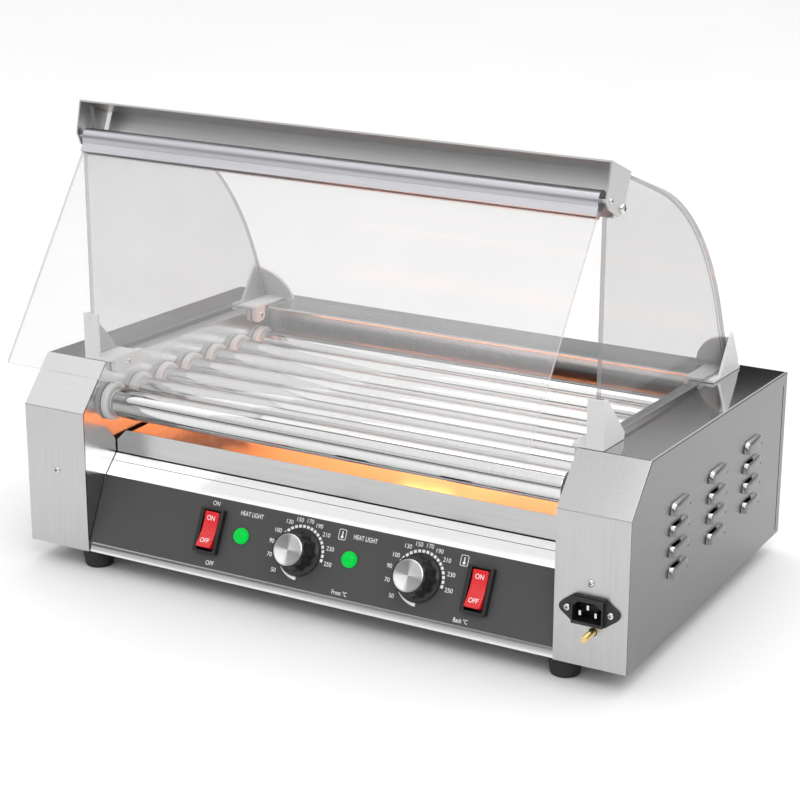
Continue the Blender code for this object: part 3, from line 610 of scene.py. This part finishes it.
def make_icon(name, place):
    """A thermometer in a rounded frame."""
    marks = bmesh.new()
    outer = rounded_rectangle(3.6, 4.6, 1.4)
    inner = rounded_rectangle(3.1, 4.1, 1.0)
    for i in range(len(outer)):
        j = (i + 1) % len(outer)
        add_prism(marks, [inner[i], inner[j], outer[j], outer[i]])
    add_prism(marks, [(0.55 * x, y) for x, y in rounded_rectangle(0.9, 2.8, 0.5)])
    bulb = [(1.3 * math.cos(a), 1.3 * math.sin(a) - 2.0) for a in (i * math.pi / 8 for i in range(16))]
    add_prism(marks, bulb, 0, 0.05)
    finish_piece(name, marks, "frame", "print", place)


def make_groove():
    """The shadow line along the panel's upper steel strip."""
    low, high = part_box("control_panel")
    outline = [(0.30, 0.0), (0.0, 0.30), (-0.30, 0.0), (0.0, -0.30)]
    spot = (low.x + 0.0004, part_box("right_front_cover")[0].y + 0.0405, 0.0925)
    bm = prism(outline, 0, (high.x - low.x) / MM - 0.8)
    finish_piece("panel_groove", bm, "frame", "painted_shade", placed(spot, (1, 0, 0)))


# ---------------------------------------------------------------- carried-over CAD nodes

CAD_LOOKS = {
    "brushed": ["left_front_cover", "right_front_cover", "rear_panel", "base_pan"],
    "side_steel": ["left_side_cover", "right_side_cover"],
    "brushed_x": ["control_panel"],
    "satin": ["left_inner_wall", "right_inner_wall", "rear_inner_panel", "drip_tray"],
    "panel": ["control_overlay"],
    "black": ["power_switch_bezel", "light_switch_bezel", "mains_inlet"],
    "red": ["power_rocker", "light_rocker"],
    "white": [f"{side}_{end}_bracket" for side in ("left", "right") for end in ("front", "rear")],
    "side_glass": ["left_hood_glass", "right_hood_glass"],
    "rear_glass": ["rear_hood_glass"],
    "flap_glass": ["flap_glass"],
    "bar_inside": ["hood_top_bar"],
    "anodised": ["flap_hinge_extrusion"],
    "motor": ["gear_motor"],
    "dull": ["motor_sprocket", "drive_chain"],
}
ROUNDED = {
    "power_switch_bezel": 0.7, "light_switch_bezel": 0.7, "power_rocker": 1.5, "light_rocker": 1.5,
    "mains_inlet": 0.5, "gear_motor": 1.0, "hood_top_bar": 0.25, "drip_tray": 0.25,
    "left_front_bracket": 0.6, "right_front_bracket": 0.6,
    "left_rear_bracket": 0.6, "right_rear_bracket": 0.6,
    "left_front_cover": 0.25, "right_front_cover": 0.25, "control_panel": 0.25,
}


def dress_nodes():
    for look, names in CAD_LOOKS.items():
        for name in names:
            node = NODES[name]
            node.data.materials.clear()
            node.data.materials.append(MATERIALS[look])
            soften(node, ROUNDED.get(name, 0.0))


def soften(node, width):
    """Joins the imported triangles, rounds the hard edges a little and smooths the bends."""
    weld = node.modifiers.new("join", "WELD")
    weld.merge_threshold = 0.00001
    if width:
        bevel = node.modifiers.new("edges", "BEVEL")
        bevel.width = width * MM
        bevel.segments = 3 if width > 1 else 2
        bevel.limit_method = "ANGLE"
        bevel.angle_limit = math.radians(40)
        bevel.harden_normals = False
    node.data.shade_smooth()
    split = node.modifiers.new("creases", "EDGE_SPLIT")
    split.split_angle = math.radians(38)
    flats = node.modifiers.new("flats", "WEIGHTED_NORMAL")
    flats.mode = "FACE_AREA"
    flats.weight = 50


# ---------------------------------------------------------------- stage, lights and camera


def make_stage():
    bm = bmesh.new()
    bm.faces.new([bm.verts.new((x, y, 0.0)) for x, y in ((-9, -9), (9, -9), (9, 9), (-9, 9))])
    mesh = bpy.data.meshes.new("floor")
    bm.to_mesh(mesh)
    bm.free()
    material, tree, shader = new_material("floor_paper")
    broad = stretched_noise(tree, 2.0, 2.0)
    tree.links.new(ramp(tree, broad, (0.74, 0.74, 0.74), (0.76, 0.76, 0.76)), shader.inputs["Base Color"])
    shader.inputs["Roughness"].default_value = 0.7
    mesh.materials.append(material)
    floor = bpy.data.objects.new("floor", mesh)
    bpy.context.scene.collection.objects.link(floor)


def area_light(name, spot, target, size, power, colour=(1, 1, 1)):
    data = bpy.data.lights.new(name, "AREA")
    data.shape = "RECTANGLE"
    data.size, data.size_y = size
    data.energy = power
    data.color = colour
    light = bpy.data.objects.new(name, data)
    bpy.context.scene.collection.objects.link(light)
    light.location = spot
    light.rotation_euler = (Vector(target) - Vector(spot)).to_track_quat("-Z", "Y").to_euler()


def make_lights():
    area_light("key", (1.5, -1.7, 2.2), (0.1, 0, 0.1), (1.6, 1.2), 22)
    area_light("top", (0.1, 0.4, 2.4), (0, 0, 0.2), (2.4, 1.4), 16)
    warm = (1.0, 0.27, 0.07)
    area_light("heat_low", (0, 0.035, 0.118), (0, 0.035, 0.2), (0.40, 0.17), 0.75, warm)
    area_light("heat_spot", (0.04, 0.0, 0.13), (0.04, 0.0, 0.0), (0.05, 0.02), 0.05, (1.0, 0.55, 0.18))
    area_light("heat_rear", (0, 0.11, 0.118), (0, 0.17, 0.17), (0.42, 0.05), 0.55, warm)
    bpy.context.scene.view_settings.view_transform = "Standard"
    make_world()


def make_world():
    """A studio that is pale at the horizon and overhead, with a dark band of flags between for the metal."""
    world = bpy.data.worlds.new("studio")
    world.use_nodes = True
    tree = world.node_tree
    place = tree.nodes.new("ShaderNodeTexCoord")
    split = tree.nodes.new("ShaderNodeSeparateXYZ")
    bands = tree.nodes.new("ShaderNodeValToRGB")
    tree.links.new(place.outputs["Generated"], split.inputs["Vector"])
    tree.links.new(split.outputs["Z"], bands.inputs["Fac"])
    tree.links.new(bands.outputs["Color"], tree.nodes["Background"].inputs["Color"])
    stops = ((0.0, 0.4), (0.14, 0.4), (0.17, 0.005), (0.228, 0.002), (0.25, 0.42), (0.42, 0.60), (0.65, 1.0))
    elements = bands.color_ramp.elements
    while len(elements) < len(stops):
        elements.new(0.5)
    for element, (position, grey) in zip(elements, stops):
        element.position = position
        element.color = (grey, grey, grey, 1)
    tree.nodes["Background"].inputs["Strength"].default_value = 1.45
    bpy.context.scene.world = world


def make_camera():
    azimuth, elevation, roll = (math.radians(angle) for angle in (28.98, 18.44, 0.16))
    level = math.cos(elevation)
    back = Vector((math.sin(azimuth) * level, -math.cos(azimuth) * level, math.sin(elevation)))
    right = (-back).cross(Vector((0, 0, 1))).normalized()
    up = right.cross(-back)
    turned_right = math.cos(roll) * right + math.sin(roll) * up
    turned_up = -math.sin(roll) * right + math.cos(roll) * up
    data = bpy.data.cameras.new("camera")
    data.sensor_width = 36.0
    data.lens = 97.8165
    data.clip_end = 50.0
    camera = bpy.data.objects.new("camera", data)
    bpy.context.scene.collection.objects.link(camera)
    turn = Matrix((turned_right, turned_up, back)).transposed().to_4x4()
    camera.matrix_world = Matrix.Translation((0.881, -1.5637, 0.7575)) @ turn
    bpy.context.scene.camera = camera


MATERIALS = make_materials()
dress_nodes()
make_rollers()
make_bushings()
make_knobs()
make_lamps()
make_feet()
make_stud()
make_screws()
make_inlet_pins()
make_prints()
make_groove()
make_stage()
make_lights()
make_camera()
